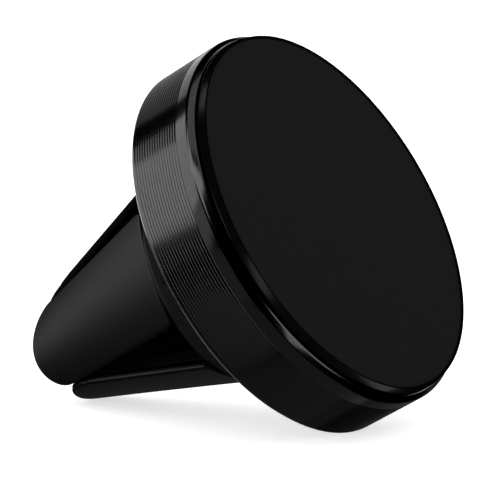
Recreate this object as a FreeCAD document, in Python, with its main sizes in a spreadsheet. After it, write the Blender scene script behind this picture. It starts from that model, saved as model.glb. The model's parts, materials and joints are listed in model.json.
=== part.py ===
import FreeCAD, Part
import math
import os
import Sketcher

# Magnetic car phone mount: a round magnetic head on a ball joint, and a four-jaw clip that grips an
# air-vent blade. Every piece is drawn on its own axis, millimetres, with +Z out of the phone face:
# the head's pieces have z = 0 at the face, and the clip's pieces share the head's ball centre.
# The assembly lies on its side, as on a flat surface under the rear edge of the trim ring and the
# lowest jaw. Its origin is where a vent blade holds it: on the clip's axis, midway along the slots.

V = FreeCAD.Vector
Placement = FreeCAD.Placement
Rotation = FreeCAD.Rotation
X_AXIS, Y_AXIS, Z_AXIS = V(1, 0, 0), V(0, 1, 0), V(0, 0, 1)

# Driving dimensions. Radii are from the piece's axis, heights are along it, negative to the rear.
SIZES = {
    # phone face pad
    "face_height": 0.0, "pad_face_radius": 19.1, "pad_radius": 19.3, "pad_bevel": -0.55,
    "pad_step": -0.61, "pad_spigot": 18.4, "pad_back": -1.5,
    # adhesive disc, magnet tray, magnets and steel yoke
    "adhesive_back": -1.65, "adhesive_radius": 18.0,
    "tray_back": -4.2, "tray_radius": 18.6,
    "magnet_radius": 4.5, "magnet_height": 2.0, "magnet_circle": 11.6, "pocket_radius": 4.55,
    "yoke_back": -5.2, "yoke_radius": 18.5,
    # trim ring
    "ring_radius": 19.9, "ring_front_radius": 19.5, "band_shoulder": -2.2,
    "ring_front": -0.91, "ring_rear": -8.95, "ring_bore": 18.75, "ring_shelf": -7.3,
    "ring_lip_bore": 18.0, "ring_front_chamfer": 0.1, "ring_rear_chamfer": 0.4,
    "groove_first": -3.0, "groove_pitch": 0.325, "groove_half_width": 0.1, "groove_depth": 0.1,
    # rear cover: flange, cone, collar, socket bore and screw bosses
    "flange_front": -6.2, "flange_radius": 18.65, "cone_radius": 17.8, "cone_inner_radius": 16.1,
    "collar_radius": 12.6, "collar_edge": 0.15, "collar_rear": -14.45, "collar_bore": 12.1,
    "cone_end": -14.3, "web_rear": -12.0, "web_front": -10.9, "cavity_radius": 14.0,
    "socket_bore": 5.25, "socket_boss": 6.6, "socket_stop": -11.2, "neck_opening": 4.2,
    "screw_circle": 14.6, "boss_radius": 2.1, "boss_rear": -9.3, "screw_hole_radius": 0.95,
    "dimple_radius": 0.5, "dimple_circle": 14.3, "dimple_height": -12.55, "dimple_depth": 0.6,
    # screws that hold the tray, the yoke and the rear cover together
    "screw_radius": 0.9, "screw_head_radius": 1.8, "screw_head_height": 1.1, "screw_tip": -9.0,
    "head_recess_radius": 1.95, "head_recess_back": -2.85,
    # ball joint
    "ball_height": -9.5, "ball_radius": 3.2, "socket_radius": 3.25, "neck_radius": 1.7,
    "cup_radius": 5.2, "cup_front": -7.4, "cup_rear": -11.1,
    "friction_front": -5.8, "friction_rear": -7.3, "spring_front": -5.25, "spring_thickness": 0.25,
    "spring_bore": 2.6, "spring_radius": 4.8,
    # clip base, ball stud and its screw
    "base_radius": 11.4, "base_front": -13.3, "base_rear": -15.8, "base_edge": 0.3,
    "hub_radius": 4.0, "hub_rear": -16.8, "stud_bore": 1.75, "stud_foot": -15.75,
    "stud_thread_radius": 1.0, "stud_thread_front": -12.2, "clip_screw_radius": 0.95,
    "clip_screw_head_radius": 1.9, "clip_screw_head_rear": -18.0,
    # jaws: sections at the root, at the shoulder where the end starts to round, and at the tip
    "jaw_root": -16.0, "jaw_shoulder": -34.0, "jaw_tip": -37.6,
    "tip_centre": -32.85, "short_tip_centre": -31.4, "boot_tip_radius": 4.59, "core_tip_radius": 4.05,
    "boot_root_corner": 10.16, "boot_root_half": 6.13, "boot_root_arc": 22.06,
    "boot_shoulder_corner": 4.58, "boot_shoulder_half": 4.51, "boot_shoulder_arc": 11.08,
    "boot_tip_corner": 3.68, "boot_tip_half": 3.6, "boot_tip_arc": 8.88,
    "boot_wall": 1.1,
    "core_root_corner": 8.965, "core_root_half": 5.285, "core_root_arc": 20.61,
    "core_root_inner": 6.3, "core_root_inner_half": 2.62,
    "core_shoulder_corner": 3.53, "core_shoulder_half": 3.18, "core_shoulder_arc": 9.63,
    "core_shoulder_inner": 1.6, "core_shoulder_inner_half": 1.25,
    "core_tip_corner": 2.64, "core_tip_half": 2.22, "core_tip_arc": 7.43,
    "core_tip_inner": 1.4, "core_tip_inner_half": 0.98,
    "grip_end": -33.0,
    "grip_root_top": 8.18, "grip_root_top_half": 4.5, "grip_root_face": 7.86, "grip_root_face_half": 4.82,
    "grip_root_inner": 5.8, "grip_root_inner_half": 2.76,
    "grip_end_top": 3.2, "grip_end_top_half": 2.68, "grip_end_face": 3.1, "grip_end_face_half": 2.8,
    "grip_end_inner": 1.5, "grip_end_inner_half": 1.2,
    "grip_core_inner": 1.86, "grip_core_inner_half": 1.32,
    # how the assembly lies, and where the vent blade holds it
    "clip_droop": 2.0, "jaw_roll": -103.0, "blade_seat": -25.0,
}
GROOVE_COUNT = 17
MAGNET_COUNT = 6
SCREW_COUNT = 3
DIMPLE_COUNT = 12
SCREW_ANGLE = 30.0
DIMPLE_TILT = 135.0
JAW_COUNT = 4
JAW_NAMES = ("lower", "right", "upper", "left")
SHORT_JAWS = ("lower", "upper")
SHEET = "Dimensions"

doc = FreeCAD.newDocument("phone_mount")


def make_sheet():
    """The spreadsheet of driving dimensions, one named cell to a row."""
    sheet = doc.addObject("Spreadsheet::Sheet", SHEET)
    for row, (alias, number) in enumerate(SIZES.items(), start=1):
        sheet.set(f"A{row}", alias)
        sheet.set(f"B{row}", str(number))
        sheet.setAlias(f"B{row}", alias)
    doc.recompute()


def value(sizes):
    """The number that a sum such as 'ring_rear + ring_rear_chamfer' stands for."""
    total, sign = 0.0, 1.0
    for word in sizes.split():
        if word in "+-":
            sign = 1.0 if word == "+" else -1.0
        else:
            total += sign * (SIZES[word] if word in SIZES else float(word))
            sign = 1.0
    return total


def bind(thing, prop, sizes):
    """Ties a property to a sum of spreadsheet cells."""
    words = [f"{SHEET}.{w}" if w in SIZES else w for w in sizes.split()]
    thing.setExpression(prop, " ".join(words))


def origin_part(body, role):
    """One of the body's own origin planes or axes."""
    return next(o for o in body.Origin.OriginFeatures if o.Role == role)


def new_body(name):
    body = doc.addObject("PartDesign::Body", name)
    body.Label = name
    return body


def arc_between(start, end, radius):
    """The circular arc from start to end that turns left for a positive radius."""
    chord = end - start
    middle = (start + end) * 0.5
    side = V(-chord.y, chord.x, 0).normalize() * math.copysign(1.0, radius)
    depth = math.sqrt(max(radius * radius - chord.Length ** 2 / 4, 0.0))
    centre = middle + side * depth
    top = centre + (middle - centre).normalize() * abs(radius) if depth else middle - side * abs(radius)
    return Part.Arc(start, top, end)


def sketch(body, name, role, outline, height=None):
    """A closed sketch on an origin plane. Each corner is (x, y), or (x, y, radius) where an arc follows.
    The arc turns left, or right where the radius starts with a minus sign."""
    made = body.newObject("Sketcher::SketchObject", name)
    made.AttachmentSupport = [(origin_part(body, role), "")]
    made.MapMode = "FlatFace"
    if height is not None:
        bind(made, "AttachmentOffset.Base.z", height)
    corners = [V(value(c[0]), value(c[1]), 0) for c in outline]
    for i, corner in enumerate(outline):
        start, end = corners[i], corners[(i + 1) % len(corners)]
        if len(corner) == 3:
            made.addGeometry(arc_between(start, end, value(corner[2])), False)
        else:
            made.addGeometry(Part.LineSegment(start, end), False)
    ends = []
    for i, corner in enumerate(outline):
        turns_right = len(corner) == 3 and value(corner[2]) < 0
        ends.append((2, 1) if turns_right else (1, 2))
    for i in range(len(outline)):
        following = (i + 1) % len(outline)
        made.addConstraint(Sketcher.Constraint("Coincident", i, ends[i][1], following, ends[following][0]))
    for i, corner in enumerate(outline):
        for kind, sizes in (("DistanceX", corner[0]), ("DistanceY", corner[1])):
            if sizes == "0":
                made.addConstraint(Sketcher.Constraint(
                    "PointOnObject", i, ends[i][0], -2 if kind == "DistanceX" else -1))
                continue
            index = made.addConstraint(Sketcher.Constraint(kind, -1, 1, i, ends[i][0], value(sizes)))
            bind(made, f"Constraints[{index}]", sizes)
        if len(corner) < 3:
            continue
        chord = (corners[(i + 1) % len(corners)] - corners[i]).Length
        if math.isclose(chord, 2 * abs(value(corner[2]))):
            index = made.addConstraint(Sketcher.Constraint("DistanceY", -1, 1, i, 3, value(corner[1])))
            bind(made, f"Constraints[{index}]", corner[1])
        else:
            index = made.addConstraint(Sketcher.Constraint("Radius", i, abs(value(corner[2]))))
            bind(made, f"Constraints[{index}]", corner[2].lstrip("- "))
    return made


def revolve(body, outline):
    """Turns a (radius, height) outline about the body's Z axis."""
    feature = body.newObject("PartDesign::Revolution", f"{body.Name}_turned")
    feature.Profile = sketch(body, f"{body.Name}_profile", "XZ_Plane", outline)
    feature.ReferenceAxis = (origin_part(body, "Z_Axis"), [""])
    feature.Angle = 360
    doc.recompute()
    return feature


def cylinder(body, kind, name, radius, length, circle, top, angle=0.0, lean=180.0):
    """A PartDesign cylinder from the height top, down through the body unless it leans otherwise."""
    feature = body.newObject(f"PartDesign::{kind}Cylinder", f"{body.Name}_{name}")
    feature.AttachmentSupport = [(origin_part(body, "XY_Plane"), "")]
    feature.MapMode = "FlatFace"
    turn = Rotation(Z_AXIS, angle)
    place = turn.multVec(V(value(circle), 0, value(top)))
    feature.AttachmentOffset = Placement(place, turn.multiply(Rotation(Y_AXIS, lean)))
    bind(feature, "Radius", radius)
    bind(feature, "Height", length)
    doc.recompute()
    return feature


def around(body, feature, count):
    """Repeats a feature evenly about the body's Z axis."""
    pattern = body.newObject("PartDesign::PolarPattern", f"{feature.Name}_pattern")
    pattern.Originals = [feature]
    pattern.Axis = (origin_part(body, "Z_Axis"), [""])
    pattern.Angle = 360
    pattern.Occurrences = count
    body.Tip = pattern
    doc.recompute()


def loft(body, sections):
    """A straight-sided loft through (name, outline, height) sections."""
    made = [sketch(body, f"{body.Name}_{name}", "XY_Plane", outline, height)
            for name, outline, height in sections]
    feature = body.newObject("PartDesign::AdditiveLoft", f"{body.Name}_loft")
    feature.Profile = made[0]
    feature.Sections = made[1:]
    feature.Ruled = True
    doc.recompute()


# ---- head ----------------------------------------------------------------------------------------

def front_pad():
    """Face disc: its bevelled edge overhangs the trim ring's front and its spigot sits in the bore."""
    body = new_body("front_pad")
    revolve(body, [("0", "pad_back"), ("pad_spigot", "pad_back"), ("pad_spigot", "pad_step"),
                   ("pad_radius", "pad_step"), ("pad_radius", "pad_bevel"),
                   ("pad_face_radius", "face_height"), ("0", "face_height")])
    return body


def pad_adhesive():
    body = new_body("pad_adhesive")
    revolve(body, [("0", "adhesive_back"), ("adhesive_radius", "adhesive_back"),
                   ("adhesive_radius", "pad_back"), ("0", "pad_back")])
    return body


def magnet_tray():
    """Plastic disc with a pocket for each magnet, open to the rear, and sunk holes for the screws."""
    body = new_body("magnet_tray")
    revolve(body, [("0", "tray_back"), ("tray_radius", "tray_back"),
                   ("tray_radius", "adhesive_back"), ("0", "adhesive_back")])
    pocket = cylinder(body, "Subtractive", "pocket", "pocket_radius", "magnet_height + 0.05",
                      "magnet_circle", "tray_back + magnet_height + 0.05")
    around(body, pocket, MAGNET_COUNT)
    hole = cylinder(body, "Subtractive", "hole", "screw_hole_radius", "adhesive_back - tray_back + 1",
                    "screw_circle", "adhesive_back + 0.5", SCREW_ANGLE)
    around(body, hole, SCREW_COUNT)
    recess = cylinder(body, "Subtractive", "recess", "head_recess_radius",
                      "adhesive_back - head_recess_back", "screw_circle", "adhesive_back", SCREW_ANGLE)
    around(body, recess, SCREW_COUNT)
    return body


def magnet(number):
    body = doc.addObject("Part::Cylinder", f"magnet_{number}")
    body.Label = body.Name
    bind(body, "Radius", "magnet_radius")
    bind(body, "Height", "magnet_height")
    turn = Rotation(Z_AXIS, 360.0 * (number - 1) / MAGNET_COUNT)
    return body, Placement(turn.multVec(V(SIZES["magnet_circle"], 0, SIZES["tray_back"])), turn)


def yoke_plate():
    """Steel disc behind the magnets, which closes their field."""
    body = new_body("yoke_plate")
    revolve(body, [("0", "yoke_back"), ("yoke_radius", "yoke_back"),
                   ("yoke_radius", "tray_back"), ("0", "tray_back")])
    hole = cylinder(body, "Subtractive", "hole", "screw_hole_radius", "tray_back - yoke_back + 1",
                    "screw_circle", "tray_back + 0.5", SCREW_ANGLE)
    around(body, hole, SCREW_COUNT)
    return body


def trim_ring():
    """Turned aluminium ring: a smooth band that draws in to the front, fine grooves behind it and a
    shelf for the cover."""
    body = new_body("trim_ring")
    outline = [("ring_lip_bore", "ring_rear"), ("ring_radius - ring_rear_chamfer", "ring_rear"),
               ("ring_radius", "ring_rear + ring_rear_chamfer")]
    for i in reversed(range(GROOVE_COUNT)):
        middle = f"groove_first - {i * SIZES['groove_pitch']:.3f}"
        outline += [("ring_radius", f"{middle} - groove_half_width"),
                    ("ring_radius - groove_depth", middle),
                    ("ring_radius", f"{middle} + groove_half_width")]
    outline += [("ring_radius", "band_shoulder"), ("ring_front_radius", "ring_front - ring_front_chamfer"),
                ("ring_front_radius - ring_front_chamfer", "ring_front"), ("ring_bore", "ring_front"),
                ("ring_bore", "ring_shelf"), ("ring_lip_bore", "ring_shelf")]
    revolve(body, outline)
    return body


def rear_cover():
    """Conical back shell: its flange sits on the ring's shelf, its middle holds the ball socket, and
    its collar hides the joint."""
    body = new_body("rear_cover")
    revolve(body, [
        ("neck_opening", "web_rear"), ("collar_bore", "web_rear"), ("collar_bore", "collar_rear"),
        ("collar_radius - collar_edge", "collar_rear"), ("collar_radius", "cone_end"),
        ("cone_radius", "ring_rear"), ("cone_radius", "ring_shelf"), ("flange_radius", "ring_shelf"),
        ("flange_radius", "flange_front"), ("cone_inner_radius", "flange_front"),
        ("cone_inner_radius", "ring_rear"), ("cavity_radius", "web_front"),
        ("socket_boss", "web_front"), ("socket_boss", "flange_front"), ("socket_bore", "flange_front"),
        ("socket_bore", "socket_stop"), ("neck_opening", "socket_stop")])
    boss = cylinder(body, "Additive", "boss", "boss_radius", "yoke_back - boss_rear",
                    "screw_circle", "yoke_back", SCREW_ANGLE)
    around(body, boss, SCREW_COUNT)
    hole = cylinder(body, "Subtractive", "hole", "screw_hole_radius", "yoke_back - screw_tip + 0.1",
                    "screw_circle", "yoke_back", SCREW_ANGLE)
    around(body, hole, SCREW_COUNT)
    dimple = cylinder(body, "Subtractive", "dimple", "dimple_radius", "dimple_depth + dimple_depth",
                      "dimple_circle - dimple_depth", "dimple_height + dimple_depth", 0.0, DIMPLE_TILT)
    around(body, dimple, DIMPLE_COUNT)
    return body


def tray_screws():
    """Three screws as one group of separate solids."""
    screws = []
    for i in range(SCREW_COUNT):
        head = doc.addObject("Part::Cylinder", f"tray_screw_head_{i + 1}")
        bind(head, "Radius", "screw_head_radius")
        bind(head, "Height", "screw_head_height")
        head.Placement.Base = V(0, 0, value("head_recess_back"))
        shank = doc.addObject("Part::Cylinder", f"tray_screw_shank_{i + 1}")
        bind(shank, "Radius", "screw_radius")
        bind(shank, "Height", "head_recess_back - screw_tip")
        shank.Placement.Base = V(0, 0, value("screw_tip"))
        screw = doc.addObject("Part::Fuse", f"tray_screw_{i + 1}")
        screw.Base, screw.Tool = head, shank
        turn = Rotation(Z_AXIS, SCREW_ANGLE + 360.0 * i / SCREW_COUNT)
        screw.Placement = Placement(turn.multVec(V(SIZES["screw_circle"], 0, 0)), turn)
        screws.append(screw)
    group = doc.addObject("Part::Compound", "tray_screws")
    group.Label = "tray_screws"
    group.Links = screws
    doc.recompute()
    return group


# ---- ball joint ----------------------------------------------------------------------------------

def socket_cup():
    """Cup that the ball seats in. It turns in the rear cover's bore."""
    body = new_body("socket_cup")
    half = math.sqrt(SIZES["socket_radius"] ** 2 - (value("cup_rear - ball_height")) ** 2)
    SIZES["cup_mouth"] = round(half, 3)
    add_cell("cup_mouth")
    revolve(body, [("cup_mouth", "cup_rear"), ("cup_radius", "cup_rear"), ("cup_radius", "cup_front"),
                   ("socket_radius", "cup_front"), ("socket_radius", "ball_height", "- socket_radius")])
    return body


def add_cell(alias):
    """Adds a dimension worked out from the others to the sheet."""
    sheet = doc.getObject(SHEET)
    row = list(SIZES).index(alias) + 1
    sheet.set(f"A{row}", alias)
    sheet.set(f"B{row}", str(SIZES[alias]))
    sheet.setAlias(f"B{row}", alias)
    doc.recompute()


def friction_pad():
    """Plastic pad, hollow to the ball's radius, that the disc spring presses on the ball."""
    body = new_body("friction_pad")
    depth = value("friction_rear - ball_height")
    SIZES["friction_mouth"] = round(math.sqrt(SIZES["socket_radius"] ** 2 - depth ** 2), 3)
    add_cell("friction_mouth")
    revolve(body, [("friction_mouth", "friction_rear"), ("cup_radius", "friction_rear"),
                   ("cup_radius", "friction_front"), ("0", "friction_front"),
                   ("0", "ball_height + socket_radius", "- socket_radius")])
    return body


def disc_spring():
    body = new_body("disc_spring")
    revolve(body, [("spring_bore", "friction_front"), ("spring_radius", "spring_front - spring_thickness"),
                   ("spring_radius", "spring_front"), ("spring_bore", "friction_front + spring_thickness")])
    return body


# ---- clip ----------------------------------------------------------------------------------------

def ball_stud():
    """Ball, neck and shank in one turned piece, tapped from the rear for the clip screw."""
    body = new_body("ball_stud")
    reach = math.sqrt(SIZES["ball_radius"] ** 2 - SIZES["neck_radius"] ** 2)
    SIZES["neck_top"] = round(SIZES["ball_height"] - reach, 3)
    add_cell("neck_top")
    revolve(body, [("stud_thread_radius", "stud_foot"), ("neck_radius", "stud_foot"),
                   ("neck_radius", "neck_top", "ball_radius"),
                   ("ball_radius", "ball_height", "ball_radius"),
                   ("0", "ball_height + ball_radius"), ("0", "stud_thread_front"),
                   ("stud_thread_radius", "stud_thread_front")])
    return body


def clip_base():
    body = new_body("clip_base")
    revolve(body, [
        ("clip_screw_radius + 0.05", "hub_rear"), ("hub_radius", "hub_rear"), ("hub_radius", "base_rear"),
        ("base_radius - base_edge", "base_rear"), ("base_radius", "base_rear + base_edge"),
        ("base_radius", "base_front - base_edge"), ("base_radius - base_edge", "base_front"),
        ("stud_bore", "base_front"), ("stud_bore", "base_rear"),
        ("clip_screw_radius + 0.05", "base_rear")])
    return body


def clip_screw():
    body = new_body("clip_screw")
    revolve(body, [("0", "clip_screw_head_rear"), ("clip_screw_head_radius", "clip_screw_head_rear"),
                   ("clip_screw_head_radius", "hub_rear"), ("clip_screw_radius", "hub_rear"),
                   ("clip_screw_radius", "stud_thread_front - 0.4"), ("0", "stud_thread_front - 0.4")])
    return body


def round_tip(body, name, radius):
    """Cuts the jaw's end to a half circle, seen along the jaw's own radius."""
    centre = "short_tip_centre" if name in SHORT_JAWS else "tip_centre"
    outline = [("- 8", centre), (f"- {radius}", centre, radius), (radius, centre), ("8", centre),
               ("8", "jaw_tip - 1"), ("- 8", "jaw_tip - 1")]
    feature = body.newObject("PartDesign::Pocket", f"{body.Name}_end")
    feature.Profile = sketch(body, f"{body.Name}_end_outline", "YZ_Plane", outline)
    feature.Midplane = True
    feature.Length = 40
    doc.recompute()


def jaw_core(name):
    """Springy inner prong of one jaw: a wedge with its narrow side to the clip's axis."""
    body = new_body(f"{name}_jaw_core")
    sections = []
    for place in ("root", "shoulder", "tip"):
        corner, half, arc = f"core_{place}_corner", f"core_{place}_half", f"core_{place}_arc"
        inner, inner_half = f"core_{place}_inner", f"core_{place}_inner_half"
        outline = [(inner, f"- {inner_half}"), (corner, f"- {half}", arc), (corner, half),
                   (inner, inner_half)]
        sections.append((place, outline, f"jaw_{place}"))
    loft(body, sections)
    round_tip(body, name, "core_tip_radius")
    return body


def jaw_boot(name):
    """Rubber skin over the outside of one jaw."""
    body = new_body(f"{name}_jaw_boot")
    sections = []
    for place in ("root", "shoulder", "tip"):
        corner, half, arc = f"boot_{place}_corner", f"boot_{place}_half", f"boot_{place}_arc"
        outline = [(f"{corner} - boot_wall", f"- {half} + boot_wall"), (corner, f"- {half}", arc),
                   (corner, half),
                   (f"{corner} - boot_wall", f"{half} - boot_wall", f"- core_{place}_arc")]
        sections.append((place, outline, f"jaw_{place}"))
    loft(body, sections)
    round_tip(body, name, "boot_tip_radius")
    return body


def jaw_grip(name):
    """Rubber lining round the inner side of one jaw, which touches the vent blade."""
    body = new_body(f"{name}_jaw_grip")
    ends = (("root", "core_root_inner", "core_root_inner_half", "jaw_root"),
            ("end", "grip_core_inner", "grip_core_inner_half", "grip_end"))
    sections = []
    for place, core, core_half, height in ends:
        g = f"grip_{place}"
        outline = [(f"{g}_top", f"{g}_top_half"), (core, core_half), (core, f"- {core_half}"),
                   (f"{g}_top", f"- {g}_top_half"), (f"{g}_face", f"- {g}_face_half"),
                   (f"{g}_inner", f"- {g}_inner_half"), (f"{g}_inner", f"{g}_inner_half"),
                   (f"{g}_face", f"{g}_face_half")]
        sections.append((place, outline, height))
    loft(body, sections)
    return body


# ---- assembly ------------------------------------------------------------------------------------

def lowest(shape, placement):
    """How low a shape reaches once it is placed."""
    moved = shape.copy()
    moved.Placement = placement.multiply(moved.Placement)
    return moved.optimalBoundingBox(False, False).ZMin


def lie(angle):
    """Turns the upright assembly about its ball centre so that the face looks to -Y and up."""
    return Placement(V(0, 0, 0), Rotation(X_AXIS, angle)).multiply(
        Placement(V(0, 0, -SIZES["ball_height"]), Rotation()))


def jaw_turn(number):
    return Placement(V(0, 0, 0), Rotation(Z_AXIS, SIZES["jaw_roll"] + 360.0 * number / JAW_COUNT))


def resting_angle(ring, low_jaw):
    """The lying angle at which the trim ring and the lowest jaw touch one flat surface."""
    flat, steep = 40.0, 80.0
    for _ in range(24):
        middle = (flat + steep) / 2
        ring_low = lowest(ring.Shape, lie(middle))
        jaw_low = lowest(low_jaw.Shape, lie(middle + SIZES["clip_droop"]).multiply(jaw_turn(0)))
        flat, steep = (middle, steep) if jaw_low < ring_low else (flat, middle)
    return (flat + steep) / 2


make_sheet()
head = {"front_pad": front_pad(), "pad_adhesive": pad_adhesive(), "magnet_tray": magnet_tray(),
        "yoke_plate": yoke_plate(), "trim_ring": trim_ring(), "rear_cover": rear_cover(),
        "tray_screws": tray_screws(), "socket_cup": socket_cup(), "friction_pad": friction_pad(),
        "disc_spring": disc_spring()}
magnets = [magnet(i + 1) for i in range(MAGNET_COUNT)]
clip = {"ball_stud": ball_stud(), "clip_base": clip_base(), "clip_screw": clip_screw()}
jaws = [(jaw_core(name), jaw_boot(name), jaw_grip(name)) for name in JAW_NAMES]
doc.recompute()

angle = resting_angle(head["trim_ring"], jaws[0][1])
head_place = lie(angle)
clip_place = lie(angle + SIZES["clip_droop"])
for piece in head.values():
    piece.Placement = head_place
for piece, spot in magnets:
    piece.Placement = head_place.multiply(spot)
for piece in clip.values():
    piece.Placement = clip_place
for number, pieces in enumerate(jaws):
    for piece in pieces:
        piece.Placement = clip_place.multiply(jaw_turn(number))

subparts = list(head.values()) + [m[0] for m in magnets] + list(clip.values())
subparts += [piece for pieces in jaws for piece in pieces]
doc.recompute()

# The origin goes to the vent blade's seat on the clip's axis.
shift = -clip_place.multVec(V(0, 0, SIZES["blade_seat"]))
for piece in subparts:
    piece.Placement.Base = piece.Placement.Base + shift
doc.recompute()

for thing in doc.Objects:
    bad = {"Invalid", "Error"} & set(thing.State)
    if bad:
        raise RuntimeError(f"{thing.Label} is {bad}")
os.makedirs("parts", exist_ok=True)
for piece in subparts:
    shape = piece.Shape
    if shape.isNull() or not shape.isValid():
        raise RuntimeError(f"{piece.Label} has no valid shape")
    shape.exportStep(os.path.join("parts", f"{piece.Label}.step"))
print(f"{len(subparts)} parts, lying angle {angle:.3f}, ball centre {shift}")
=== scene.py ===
import json
import math

import bmesh
import bpy
from mathutils import Matrix, Vector


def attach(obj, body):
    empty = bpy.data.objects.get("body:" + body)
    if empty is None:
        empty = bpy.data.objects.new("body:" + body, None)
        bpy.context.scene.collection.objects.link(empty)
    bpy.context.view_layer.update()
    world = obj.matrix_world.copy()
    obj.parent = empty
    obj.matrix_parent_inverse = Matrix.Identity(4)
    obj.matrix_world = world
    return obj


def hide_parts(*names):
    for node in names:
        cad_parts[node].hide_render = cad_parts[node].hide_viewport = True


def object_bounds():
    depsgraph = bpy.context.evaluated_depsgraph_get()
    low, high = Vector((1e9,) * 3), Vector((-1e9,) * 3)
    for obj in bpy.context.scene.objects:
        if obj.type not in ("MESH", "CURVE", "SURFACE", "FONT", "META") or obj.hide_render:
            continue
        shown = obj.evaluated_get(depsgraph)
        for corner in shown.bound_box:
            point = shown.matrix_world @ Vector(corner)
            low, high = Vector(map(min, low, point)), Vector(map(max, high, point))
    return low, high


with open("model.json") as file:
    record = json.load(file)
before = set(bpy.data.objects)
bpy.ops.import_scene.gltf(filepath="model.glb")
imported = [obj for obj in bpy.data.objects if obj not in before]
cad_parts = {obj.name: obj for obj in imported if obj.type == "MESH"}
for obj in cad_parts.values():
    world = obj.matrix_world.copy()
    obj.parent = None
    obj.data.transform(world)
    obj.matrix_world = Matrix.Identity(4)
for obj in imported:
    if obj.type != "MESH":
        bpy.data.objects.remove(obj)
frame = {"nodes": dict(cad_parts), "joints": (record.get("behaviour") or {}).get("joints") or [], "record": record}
CAD_LOW, CAD_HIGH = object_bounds()
MM = 0.001
JAWS = ("lower", "right", "upper", "left")

# ---- two local frames in millimetres: Z out of the phone face, face plane at height 0 --------------

mounts = {m["name"]: m for m in frame["record"]["mounts"]}
joints = {j["name"]: j for j in frame["joints"]}
BALL = Vector(joints["head_tilt"]["pos_m"])
HEAD_AXIS = Vector(mounts["phone_face"]["axis"])
FACE_CENTRE = Vector(mounts["phone_face"]["pos_m"])
CLIP_AXIS = -Vector(mounts["blade_slot"]["axis"])
BALL_DEPTH = (FACE_CENTRE - BALL).length


def local_frame(axis):
    """The frame whose Z is the axis and whose X stays level, with its origin in front of the ball centre by
    the ball's depth behind the phone face."""
    z = axis.normalized()
    x = Vector((1, 0, 0))
    y = z.cross(x)
    turn = Matrix((x, y, z)).transposed().to_4x4()
    return Matrix.Translation(BALL + z * BALL_DEPTH) @ turn


HEAD = local_frame(HEAD_AXIS)
CLIP = local_frame(CLIP_AXIS)


# ---- mesh helpers --------------------------------------------------------------------------------

def finish_mesh(bm, name, place, body, sharp=35.0, baked=False):
    """Turns a bmesh in millimetres into a piece that rides on a body. A baked piece keeps no turn of
    its own: its vertices are placed where they belong."""
    bmesh.ops.remove_doubles(bm, verts=bm.verts, dist=1e-4)
    bmesh.ops.recalc_face_normals(bm, faces=bm.faces)
    bmesh.ops.scale(bm, vec=(MM, MM, MM), verts=bm.verts)
    if baked:
        bmesh.ops.transform(bm, matrix=place, verts=bm.verts)
        place = Matrix()
    mesh = bpy.data.meshes.new(name)
    bm.to_mesh(mesh)
    bm.free()
    mesh.shade_smooth()
    mesh.set_sharp_from_angle(angle=math.radians(sharp))
    piece = bpy.data.objects.new(name, mesh)
    bpy.context.scene.collection.objects.link(piece)
    piece.matrix_world = place
    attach(piece, body)
    return piece


def fillet(points, radii, steps=4):
    """Rounds the corners of a closed outline of (a, b) points, each by its own radius. A corner that is
    almost straight stays a point, and a fillet stops just short of the middle of a side."""
    almost_straight, side_share = math.pi - 0.02, 0.49
    made = []
    count = len(points)
    for i, (point, radius) in enumerate(zip(points, radii)):
        here = Vector(point)
        back = Vector(points[i - 1]) - here
        on = Vector(points[(i + 1) % count]) - here
        angle = back.angle(on)
        if radius <= 0 or angle > almost_straight:
            made.append(tuple(here))
            continue
        reach = min(radius / math.tan(angle / 2), back.length * side_share, on.length * side_share)
        radius = reach * math.tan(angle / 2)
        start, end = here + back.normalized() * reach, here + on.normalized() * reach
        centre = here + (back.normalized() + on.normalized()).normalized() * (radius / math.sin(angle / 2))
        for k in range(steps + 1):
            spoke = (start - centre).lerp(end - centre, k / steps).normalized() * radius
            made.append(tuple(centre + spoke))
    return made


def turned(outline, segments, slots=None):
    """A solid of revolution from a closed (radius, height) outline, as a bmesh. slots gives a material
    index for each side of the outline."""
    bm = bmesh.new()
    rings = []
    for k in range(segments):
        a = 2 * math.pi * k / segments
        rings.append([bm.verts.new((r * math.cos(a), r * math.sin(a), z)) for r, z in outline])
    for k in range(segments):
        one, two = rings[k], rings[(k + 1) % segments]
        for i in range(len(outline)):
            j = (i + 1) % len(outline)
            corners = []
            for v in (one[i], two[i], two[j], one[j]):
                if all((v.co - c.co).length > 1e-6 for c in corners):
                    corners.append(v)
            if len(corners) > 2:
                face = bm.faces.new(corners)
                if slots:
                    face.material_index = slots[i]
    return bm


def tube_of(sections):
    """Joins closed sections, lists of points with the same count, into a capped solid."""
    bm = bmesh.new()
    rings = [[bm.verts.new(p) for p in section] for section in sections]
    count = len(sections[0])
    for one, two in zip(rings, rings[1:]):
        for i in range(count):
            j = (i + 1) % count
            bm.faces.new((one[i], one[j], two[j], two[i]))
    bm.faces.new(rings[0])
    bm.faces.new(rings[-1])
    return bm


# ---- materials -----------------------------------------------------------------------------------

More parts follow.
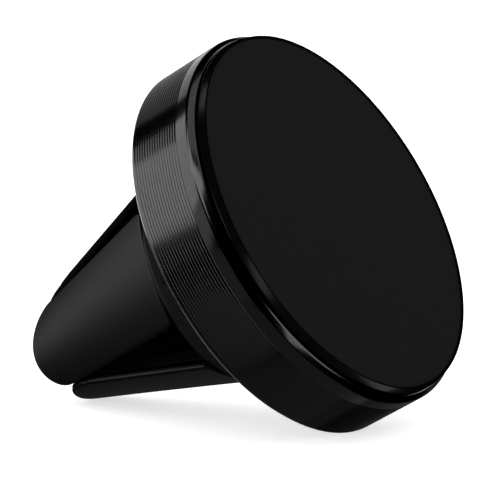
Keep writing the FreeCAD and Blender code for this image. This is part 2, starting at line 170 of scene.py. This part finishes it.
class Look:
    """A Principled material with object-space noise for its colour, roughness and bump."""

    def __init__(self, name, metallic=0.0, specular=0.5, anisotropic=0.0):
        self.material = bpy.data.materials.new(name)
        self.material.use_nodes = True
        self.tree = self.material.node_tree
        self.shader = self.tree.nodes["Principled BSDF"]
        for socket, number in (("Metallic", metallic), ("Specular IOR Level", specular),
                               ("Anisotropic", anisotropic)):
            self.shader.inputs[socket].default_value = number
        self.place = self.tree.nodes.new("ShaderNodeTexCoord").outputs["Object"]

    def noise(self, scale, detail=3.0, stretch=(1, 1, 1)):
        """A 0-1 noise over the piece, its scale per metre."""
        mapping = self.tree.nodes.new("ShaderNodeMapping")
        mapping.inputs["Scale"].default_value = stretch
        self.tree.links.new(self.place, mapping.inputs["Vector"])
        node = self.tree.nodes.new("ShaderNodeTexNoise")
        node.inputs["Scale"].default_value = scale
        node.inputs["Detail"].default_value = detail
        self.tree.links.new(mapping.outputs["Vector"], node.inputs["Vector"])
        return node.outputs["Fac"]

    def spread(self, source, low, high, socket):
        """Maps a 0-1 source to a range and feeds it to a socket."""
        node = self.tree.nodes.new("ShaderNodeMapRange")
        node.inputs["To Min"].default_value = low
        node.inputs["To Max"].default_value = high
        self.tree.links.new(source, node.inputs["Value"])
        self.tree.links.new(node.outputs["Result"], self.shader.inputs[socket])

    def colour(self, source, dark, light):
        """Blends the base colour from dark to light over the middle of a 0-1 source."""
        ramp = self.tree.nodes.new("ShaderNodeValToRGB")
        ramp.color_ramp.elements[0].position = 0.3
        ramp.color_ramp.elements[1].position = 0.7
        ramp.color_ramp.elements[0].color = (*dark, 1)
        ramp.color_ramp.elements[1].color = (*light, 1)
        self.tree.links.new(source, ramp.inputs["Fac"])
        self.tree.links.new(ramp.outputs["Color"], self.shader.inputs["Base Color"])

    def bump(self, source, depth):
        """Raises the surface by a 0-1 source, depth in metres."""
        node = self.tree.nodes.new("ShaderNodeBump")
        node.inputs["Distance"].default_value = depth
        self.tree.links.new(source, node.inputs["Height"])
        self.tree.links.new(node.outputs["Normal"], self.shader.inputs["Normal"])

    def around_z(self):
        """Stretches the highlight across lathe lines that run round the piece's Z axis."""
        node = self.tree.nodes.new("ShaderNodeTangent")
        node.direction_type = "RADIAL"
        node.axis = "Z"
        self.tree.links.new(node.outputs["Tangent"], self.shader.inputs["Tangent"])


def grey(level):
    """A grey that is very slightly blue."""
    return (level, level, level * 1.01)


def make_looks():
    """The materials by name. Noise scales are per metre, bump depths in metres."""
    looks = {}

    face = Look("face_matt", specular=0.05)
    face.colour(face.noise(9000.0), grey(0.0088), grey(0.0098))
    face.spread(face.noise(2500.0), 0.62, 0.72, "Roughness")
    face.bump(face.noise(16000.0, 2.0), 4e-6)
    looks["face"] = face.material

    edge = Look("face_edge_gloss", specular=0.5)
    edge.colour(edge.noise(4000.0), grey(0.0010), grey(0.0016))
    edge.spread(edge.noise(3000.0), 0.16, 0.24, "Roughness")
    looks["edge"] = edge.material

    ring = Look("black_anodised", metallic=1.0, anisotropic=0.25)
    ring.colour(ring.noise(2600.0, 4.0, (0.4, 0.4, 4.0)), grey(0.046), grey(0.056))
    ring.spread(ring.noise(5200.0, 3.0, (0.15, 0.15, 5.0)), 0.09, 0.17, "Roughness")
    ring.bump(ring.noise(900.0, 4.0, (1, 1, 1.6)), 2.5e-6)
    ring.around_z()
    looks["ring"] = ring.material

    cover = Look("cover_satin", specular=0.25)
    cover.colour(cover.noise(3500.0), grey(0.0040), grey(0.0052))
    cover.spread(cover.noise(2800.0), 0.48, 0.60, "Roughness")
    cover.bump(cover.noise(14000.0, 2.0), 2e-6)
    looks["cover"] = cover.material

    rubber = Look("boot_rubber", specular=0.2)
    rubber.colour(rubber.noise(2400.0), grey(0.0018), grey(0.0026))
    rubber.spread(rubber.noise(3200.0), 0.36, 0.44, "Roughness")
    rubber.bump(rubber.noise(15000.0, 3.0), 3e-6)
    looks["rubber"] = rubber.material

    prong = Look("prong_plastic", specular=0.15)
    prong.colour(prong.noise(3000.0), grey(0.0040), grey(0.0056))
    prong.spread(prong.noise(2400.0), 0.34, 0.44, "Roughness")
    looks["prong"] = prong.material

    lining = Look("grip_rubber", specular=0.1)
    lining.colour(lining.noise(2600.0), grey(0.0016), grey(0.0024))
    lining.spread(lining.noise(3400.0), 0.60, 0.72, "Roughness")
    lining.bump(lining.noise(12000.0, 2.0), 3e-6)
    looks["lining"] = lining.material

    steel = Look("plated_steel", metallic=1.0)
    steel.colour(steel.noise(1800.0, 5.0), grey(0.42), grey(0.56))
    steel.spread(steel.noise(4200.0, 4.0, (1, 1, 6)), 0.24, 0.38, "Roughness")
    steel.bump(steel.noise(9000.0), 1.5e-6)
    looks["steel"] = steel.material

    nickel = Look("nickel_plate", metallic=1.0)
    nickel.colour(nickel.noise(900.0, 4.0), grey(0.55), grey(0.66))
    nickel.spread(nickel.noise(2600.0), 0.10, 0.18, "Roughness")
    looks["nickel"] = nickel.material

    film = Look("adhesive_film", specular=0.5)
    film.colour(film.noise(1500.0, 5.0), (0.30, 0.28, 0.25), (0.40, 0.37, 0.33))
    film.spread(film.noise(2200.0), 0.40, 0.60, "Roughness")
    looks["film"] = film.material
    return looks


LOOKS = make_looks()
BY_SLOT = {"face_pad": "face", "adhesive": "film", "moulded_plastic": "prong", "plated_steel": "steel",
           "anodised_ring": "ring", "cover_plastic": "cover", "magnet_metal": "nickel",
           "clip_rubber": "rubber"}


def dress(piece, *names):
    """Gives a piece its materials, in place of any it came with."""
    for number, name in enumerate(names):
        if number < len(piece.data.materials):
            piece.data.materials[number] = LOOKS[name]
        else:
            piece.data.materials.append(LOOKS[name])


def soften(piece, width):
    """Rounds a carried-over piece's edges by modifiers, width in millimetres."""
    weld = piece.modifiers.new("weld", "WELD")
    weld.merge_threshold = 1e-6
    bevel = piece.modifiers.new("soft_edges", "BEVEL")
    bevel.width = width * MM
    bevel.segments = 3
    bevel.limit_method = "ANGLE"
    bevel.angle_limit = math.radians(30)
    bevel.harden_normals = True


for subpart in frame["record"]["subparts"]:
    dress(frame["nodes"][subpart["node"]], BY_SLOT[subpart["material_slot"]])
SOFT_EDGES = {"rear_cover": 0.08, "clip_base": 0.12, "clip_screw": 0.1}
SOFT_EDGES.update({f"{jaw}_jaw_core": 0.12 for jaw in JAWS})
for node, width in SOFT_EDGES.items():
    soften(frame["nodes"][node], width)

# ---- head: face pad, trim ring -------------------------------------------------------------------

SEGMENTS = 384

# The pad is a matt face inside a raised glossy rim, with a spigot behind it that drops into the ring.
FACE_RADIUS, RIM_INNER, RIM_OUTER, PAD_RADIUS, SPIGOT = 18.86, 18.95, 19.1, 19.3, 18.4
RIM_TOP, BEVEL_FOOT, STEP, PAD_BACK = 0.2, -0.5, -0.61, -1.5
pad_corners = [(0, PAD_BACK), (SPIGOT, PAD_BACK), (SPIGOT, STEP), (PAD_RADIUS, STEP),
               (PAD_RADIUS, BEVEL_FOOT), (RIM_OUTER, RIM_TOP), (RIM_INNER, RIM_TOP),
               (FACE_RADIUS, 0), (0, 0)]
pad_outline = fillet(pad_corners, (0, 0.1, 0, 0.03, 0.15, 0.06, 0.05, 0.02, 0))
pad_slots = [0 if r == 0 or (abs(z) < 1e-6 and r < FACE_RADIUS) else 1 for r, z in pad_outline]
face_pad = finish_mesh(turned(pad_outline, SEGMENTS, pad_slots), "face_pad", HEAD, "head", 60.0)
dress(face_pad, "face", "edge")
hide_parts("front_pad")

# The ring, from its chamfered rear edge over the grooves and the smooth band to the lip, and back along
# the bore to the shelf for the cover.
RING, LIP, BORE, REAR_BORE = 19.9, 19.5, 18.75, 18.0
RING_FRONT, BAND_END, SHELF, RING_REAR = -0.91, -1.5, -7.3, -8.95
FRONT_CHAMFER, REAR_CHAMFER = 0.1, 0.4
GROOVES, PITCH, FIRST, HALF, DEPTH = 17, 0.325, -3.0, 0.12, 0.06
corners = [(REAR_BORE, RING_REAR), (RING - REAR_CHAMFER, RING_REAR), (RING, RING_REAR + REAR_CHAMFER)]
radii = [0.05, 0.05, 0.05]
for i in reversed(range(GROOVES)):
    middle = FIRST - i * PITCH
    corners += [(RING, middle - HALF), (RING - DEPTH, middle), (RING, middle + HALF)]
    radii += [0, 0, 0]
corners += [(RING, BAND_END), (LIP, RING_FRONT - FRONT_CHAMFER), (LIP - FRONT_CHAMFER, RING_FRONT),
            (BORE, RING_FRONT), (BORE, SHELF), (REAR_BORE, SHELF)]
radii += [0.5, 0.04, 0.04, 0.04, 0, 0]
ring = finish_mesh(turned(fillet(corners, radii), SEGMENTS), "grooved_ring", HEAD, "head", 18.0)
dress(ring, "ring")
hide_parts("trim_ring")

# ---- clip: rubber boots and ribbed grips ---------------------------------------------------------

SHORT = ("lower", "upper")
ROLL = -103.0  # degrees from the clip's X to the lower jaw
ROOT, TOP, SHOULDER, TIP = -16.0, -15.6, -34.0, -37.6
# The outside of a jaw's section at the root, the shoulder and the tip: how far out its corners stand, half
# its width, and the radius of its curved back.
OUTER = {"corner": (10.16, 4.58, 3.68), "half": (6.13, 4.51, 3.6), "arc": (22.06, 11.08, 8.88)}
TIP_CENTRE, SHORT_TIP_CENTRE, TIP_RADIUS = -32.85, -31.4, 4.59
WALL, CORNER, RIM = 0.65, 0.8, 0.25
FULLER = {"upper": 0.4}  # how much farther out a skin stands, away from its ends


def along(sizes, z):
    """A size at height z, straight between the root, the shoulder and the tip."""
    if z > SHOULDER:
        return sizes[0] + (sizes[1] - sizes[0]) * (z - ROOT) / (SHOULDER - ROOT)
    return sizes[1] + (sizes[2] - sizes[1]) * (z - SHOULDER) / (TIP - SHOULDER)


def boot(name):
    """The rubber skin of one jaw: a curved shell with a soft rounded rim and a half-round end."""
    centre = SHORT_TIP_CENTRE if name in SHORT else TIP_CENTRE
    end = centre - TIP_RADIUS
    columns, root_rows, side_rows, end_rows = 48, 8, 60, 40
    inner_share, past_any_rim = 0.95, 99.0
    ease_root, ease_end = 3, 6

    def half_width(z):
        """Half the skin's width, with its corners rounded at the root and a half circle at the end."""
        plain = along(OUTER["half"], z)
        if z > TOP - CORNER:
            return plain - CORNER + math.sqrt(max(CORNER ** 2 - (z - TOP + CORNER) ** 2, 0))
        if z >= centre:
            return plain
        return min(plain, math.sqrt(max(TIP_RADIUS ** 2 - (z - centre) ** 2, 0)))

    def inset(y, z):
        """How far a point is from the outline's rim, seen from outside."""
        side = half_width(z) - abs(y) if z >= centre else past_any_rim
        round_end = TIP_RADIUS - math.hypot(y, z - centre) if z < centre else past_any_rim
        plain = along(OUTER["half"], z) - abs(y)
        return max(min(side, round_end, plain, TOP - z), 0)

    def drop(distance):
        """How far the rounded rim falls below the skin's outside, at a distance from the rim."""
        if distance >= RIM:
            return 0.0
        return RIM - math.sqrt(max(RIM ** 2 - (RIM - distance) ** 2, 0))

    near_root = [TOP - CORNER * (1 - math.cos(math.pi / 2 * k / root_rows)) for k in range(root_rows + 1)]
    near_end = [centre - TIP_RADIUS * math.sin(math.pi / 2 * k / end_rows) for k in range(end_rows + 1)]
    middle = [TOP - CORNER + (centre - TOP + CORNER) * k / side_rows for k in range(1, side_rows)]
    heights = near_root + middle + near_end
    bm = bmesh.new()
    outer, inner = [], []
    for z in heights:
        corner, half, arc = (along(OUTER[key], z) for key in ("corner", "half", "arc"))
        corner += FULLER.get(name, 0.0) * max(0.0, min(1.0, (TOP - z) / ease_root, (z - end) / ease_end))
        width = half_width(z)
        over, under = [], []
        for c in range(columns + 1):
            y = width * math.sin(math.pi / 2 * (2 * c / columns - 1))
            x = corner + math.sqrt(arc ** 2 - y ** 2) - math.sqrt(arc ** 2 - half ** 2)
            fall = drop(inset(y, z))
            over.append(bm.verts.new((x - fall, y, z)))
            under.append(bm.verts.new((x - WALL, y * inner_share, z)))
        outer.append(over)
        inner.append(under)
    for sheet, flip in ((outer, False), (inner, True)):
        for one, two in zip(sheet, sheet[1:]):
            for c in range(columns):
                quad = (one[c], one[c + 1], two[c + 1], two[c])
                bm.faces.new(quad[::-1] if flip else quad)
    for c in (0, columns):
        for k in range(len(heights) - 1):
            bm.faces.new((outer[k][c], outer[k + 1][c], inner[k + 1][c], inner[k][c]))
    for c in range(columns):
        bm.faces.new((outer[0][c], outer[0][c + 1], inner[0][c + 1], inner[0][c]))
    return bm


def grip():
    """The ribbed rubber lining on a jaw's inner side, a channel round the prong's narrow edge. Its section
    is mirrored about y 0, and each rib sinks to the next groove and back."""
    end, ribs, depth = -33.0, 14, 0.16
    at_root = {"top": (8.18, 4.5), "core": (6.3, 2.62), "face": (7.86, 4.82), "inner": (5.8, 2.76)}
    at_end = {"top": (3.2, 2.68), "core": (1.86, 1.32), "face": (3.1, 2.8), "inner": (1.5, 1.2)}
    stations = []
    for k in range(ribs):
        for part, sunk in ((0.0, 0), (0.42, 0), (0.55, 1), (0.87, 1)):
            stations.append(((k + part) / ribs, sunk * depth))
    stations.append((1.0, 0.0))
    sections = []
    for share, sunk in stations:
        here = {key: Vector(at_root[key]).lerp(Vector(at_end[key]), share) for key in at_root}
        here["face"] += (here["top"] - here["face"]) * sunk
        here["inner"] += Vector((sunk, -sunk * 0.6))
        side = [here["top"], here["core"]]
        rim = [here["inner"], here["face"]]
        section = side + [Vector((p.x, -p.y)) for p in reversed(side)]
        section += [Vector((p.x, -p.y)) for p in reversed(rim)] + rim
        z = ROOT + (end - ROOT) * share
        sections.append([(p.x, p.y, z) for p in section])
    return tube_of(sections)


def jaw_place(number):
    """The frame of a jaw, each a quarter turn on from the one before."""
    return CLIP @ Matrix.Rotation(math.radians(ROLL + 90.0 * number), 4, "Z")


skins = {}
for number, name in enumerate(JAWS):
    place, body = jaw_place(number), f"{name}_jaw"
    skins[name] = finish_mesh(boot(name), f"{name}_boot", place, body, 50.0, baked=True)
    lining = finish_mesh(grip(), f"{name}_grip", place, body, 25.0, baked=True)
    for piece, look, node in ((skins[name], "rubber", f"{name}_jaw_boot"),
                              (lining, "lining", f"{name}_jaw_grip")):
        dress(piece, look)
        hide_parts(node)

# ---- stage ---------------------------------------------------------------------------------------

FLOOR_HALF, FLOOR_GLOW, WORLD_GLOW = 6.0, 0.65, 1.12

floor_bm = bmesh.new()
bmesh.ops.create_grid(floor_bm, x_segments=1, y_segments=1, size=FLOOR_HALF)
bmesh.ops.translate(floor_bm, vec=(0, 0, CAD_LOW.z), verts=floor_bm.verts)
floor_mesh = bpy.data.meshes.new("floor")
floor_bm.to_mesh(floor_mesh)
floor_bm.free()
floor = bpy.data.objects.new("floor", floor_mesh)
bpy.context.scene.collection.objects.link(floor)
paper = Look("floor_paper", specular=0.2)
paper.shader.inputs["Emission Color"].default_value = (1, 1, 1, 1)
paper.shader.inputs["Emission Strength"].default_value = FLOOR_GLOW
paper.colour(paper.noise(3.0), (0.93, 0.93, 0.93), (0.95, 0.95, 0.95))
paper.spread(paper.noise(40.0), 0.75, 0.85, "Roughness")
floor.data.materials.append(paper.material)
floor.visible_glossy = False
floor.visible_shadow = False

world = bpy.data.worlds.new("studio")
bpy.context.scene.world = world
world.use_nodes = True
world.node_tree.nodes["Background"].inputs["Color"].default_value = (1, 1, 1, 1)
world.node_tree.nodes["Background"].inputs["Strength"].default_value = WORLD_GLOW
world.cycles_visibility.glossy = False

LIGHT_DISTANCE = 0.6
RING_ONLY, PAD_ONLY, SKINS_ONLY = (ring,), (face_pad,), tuple(skins.values())


def softbox(name, azimuth, elevation, width, height, radiance, only=(), flagged=()):
    """A rectangular light that faces the object, placed and sized by angles in degrees. It shows in
    reflections alone. With only, it lights just those pieces; flagged pieces are kept out of its light."""
    a, e = math.radians(azimuth), math.radians(elevation)
    out = Vector((math.sin(a) * math.cos(e), -math.cos(a) * math.cos(e), math.sin(e)))
    light = bpy.data.lights.new(name, "AREA")
    light.shape = "RECTANGLE"
    light.size = 2 * LIGHT_DISTANCE * math.tan(math.radians(width / 2))
    light.size_y = 2 * LIGHT_DISTANCE * math.tan(math.radians(height / 2))
    light.energy = 4 * light.size * light.size_y * radiance
    lamp = bpy.data.objects.new(name, light)
    bpy.context.scene.collection.objects.link(lamp)
    lamp.location = FACE_CENTRE + out * LIGHT_DISTANCE
    lamp.rotation_mode = "QUATERNION"
    lamp.rotation_quaternion = out.to_track_quat("Z", "Y")
    lamp.visible_camera = False
    lamp.visible_diffuse = False
    if only or flagged:
        lit = bpy.data.collections.new(f"lit_by_{name}")
        for piece in only or flagged:
            lit.objects.link(piece)
        for entry in lit.collection_objects:
            entry.light_linking.link_state = "INCLUDE" if only else "EXCLUDE"
        lamp.light_linking.receiver_collection = lit


# Two large boxes, one above, a faint one beside the left box, and a low one for the skins.
softbox("left_box", -154, 16, 44, 44, 1.8, flagged=(skins["upper"], face_pad))
softbox("jaw_low", 128, -40, 36, 36, 0.06, SKINS_ONLY)
softbox("right_box", 78, 32, 40, 40, 1.6, flagged=PAD_ONLY)
softbox("top_box", 0, 84, 46, 46, 0.7, flagged=PAD_ONLY)
softbox("left_fade", -126, 2, 14, 22, 0.55)

# Reflections along the ring's grooves, band and lip.
softbox("left_side", -114, -22, 36, 26, 0.15, RING_ONLY)
softbox("back_wall", 147, 10, 35, 44, 0.65, RING_ONLY)
softbox("back_edge", 124, 4, 12, 28, 0.2, RING_ONLY)
softbox("back_low", 147, -19, 30, 14, 0.14, RING_ONLY)
softbox("groove_card", 180, -34, 50, 34, 1.2, RING_ONLY)
softbox("groove_top", -105, 47, 50, 34, 2.2, RING_ONLY)
softbox("lip_card", -5, -9, 40, 26, 1.5, RING_ONLY)
softbox("under_glow", -110, -77, 100, 84, 0.11, RING_ONLY)
softbox("right_low", 106, -38, 40, 56, 0.05, RING_ONLY)

# Reflections along the pad's glossy rim.
softbox("top_card", 179, 53, 16, 9, 0.45, PAD_ONLY)
softbox("front_card", -75, -14, 12, 22, 0.5, PAD_ONLY)
softbox("low_card", 42, -56, 36, 12, 0.42, PAD_ONLY)

# ---- camera --------------------------------------------------------------------------------------

AZIMUTH, ELEVATION = math.radians(-58.45), math.radians(7.59)
CAMERA_BACK, CAMERA_LEFT, CAMERA_DOWN = 0.29199, 0.00854, 0.00344  # metres from the face's centre
back = Vector((math.sin(AZIMUTH) * math.cos(ELEVATION), -math.cos(AZIMUTH) * math.cos(ELEVATION),
               math.sin(ELEVATION)))
right = Vector((math.cos(AZIMUTH), math.sin(AZIMUTH), 0))
above = back.cross(right)
camera = bpy.data.objects.new("camera", bpy.data.cameras.new("camera"))
bpy.context.scene.collection.objects.link(camera)
camera.data.sensor_width = 36.0
camera.data.lens = 216.0
camera.data.clip_start, camera.data.clip_end = 0.01, 20.0
camera.location = FACE_CENTRE + back * CAMERA_BACK - right * CAMERA_LEFT - above * CAMERA_DOWN
camera.rotation_mode = "QUATERNION"
camera.rotation_quaternion = back.to_track_quat("Z", "Y")
bpy.context.scene.camera = camera

bpy.context.scene.view_settings.view_transform = "Standard"
bpy.context.scene.view_settings.look = "None"
